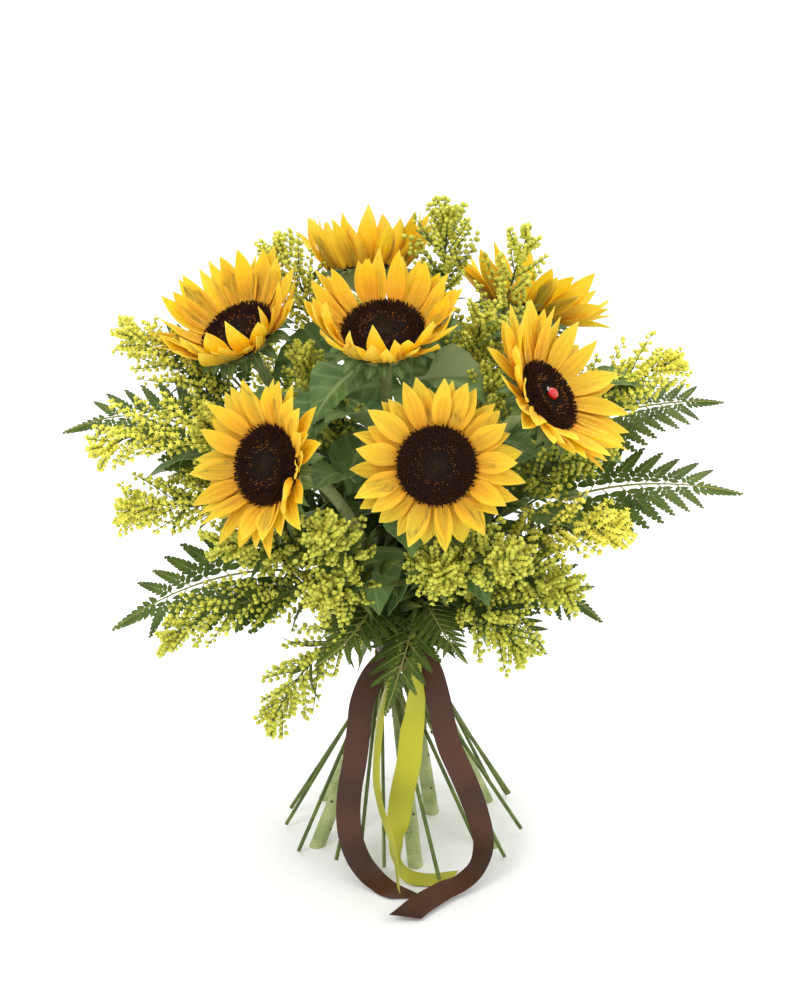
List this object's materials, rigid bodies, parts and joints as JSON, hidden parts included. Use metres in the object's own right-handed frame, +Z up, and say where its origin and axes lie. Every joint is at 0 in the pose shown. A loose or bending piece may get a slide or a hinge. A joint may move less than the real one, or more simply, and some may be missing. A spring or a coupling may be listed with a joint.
{
  "type": "bunch of sunflowers",
  "caption": "Hand-tied bunch of sunflowers with goldenrod and leather fern, bound at the waist with brown and lime satin ribbons, standing on its cut stems",
  "frame": {"origin": "on the floor that the cut stems stand on, under the middle of the whole bunch seen from above", "axes": "+Z up along the bundle, -Y towards the viewer of the picture, X to the right in it; the bunch is shallower from front to back than it is wide or high"},
  "size_m": [0.514, 0.3802, 0.5064],
  "materials": {
    "petal": "soft golden yellow petals, matt with fine grooves",
    "disc": "dark brown fuzzy florets",
    "stem_and_leaf": "fresh green, finely haired",
    "goldenrod": "lime yellow buds on green stems",
    "fern": "dark green, slightly shiny above",
    "brown_satin": "brown satin",
    "lime_satin": "lime satin",
    "twine": "dull natural fibre",
    "ladybird": "glossy paint"
  },
  "bodies": {
    "root": {"sunflower_front_petals": "petal", "sunflower_front_disc": "disc", "sunflower_front_stem": "stem_and_leaf", "sunflower_left_petals": "petal", "sunflower_left_disc": "disc", "sunflower_left_stem": "stem_and_leaf", "sunflower_top_petals": "petal", "sunflower_top_disc": "disc", "sunflower_top_stem": "stem_and_leaf", "sunflower_upper_left_petals": "petal", "sunflower_upper_left_disc": "disc", "sunflower_upper_left_stem": "stem_and_leaf", "sunflower_right_petals": "petal", "sunflower_right_disc": "disc", "sunflower_right_stem": "stem_and_leaf", "sunflower_back_right_petals": "petal", "sunflower_back_right_disc": "disc", "sunflower_back_right_stem": "stem_and_leaf", "sunflower_back_petals": "petal", "sunflower_back_disc": "disc", "sunflower_back_stem": "stem_and_leaf", "ladybird": "ladybird", "binding_twine": "twine", "brown_ribbon_band": "brown_satin", "brown_ribbon_tail_left": "brown_satin", "brown_ribbon_tail_right": "brown_satin", "lime_ribbon_band": "lime_satin", "lime_ribbon_tail_wide": "lime_satin", "lime_ribbon_tail_narrow": "lime_satin", "goldenrod_top_right": "goldenrod", "goldenrod_top_slim": "goldenrod", "goldenrod_top_left": "goldenrod", "goldenrod_upper_left": "goldenrod", "goldenrod_left": "goldenrod", "goldenrod_left_low": "goldenrod", "goldenrod_lower_left": "goldenrod", "goldenrod_bottom_left": "goldenrod", "goldenrod_front_left": "goldenrod", "goldenrod_front_right": "goldenrod", "goldenrod_front_low": "goldenrod", "goldenrod_right_low": "goldenrod", "goldenrod_right": "goldenrod", "goldenrod_right_back": "goldenrod", "goldenrod_middle_right": "goldenrod", "goldenrod_back_right": "goldenrod", "goldenrod_back_middle": "goldenrod", "goldenrod_back_left": "goldenrod", "fern_right": "fern", "fern_right_high": "fern", "fern_right_low": "fern", "fern_front_right": "fern", "fern_front": "fern", "fern_left_low": "fern", "fern_left": "fern", "fern_back_left": "fern", "fern_back": "fern", "fern_back_right": "fern"}
  },
  "joints": []
}
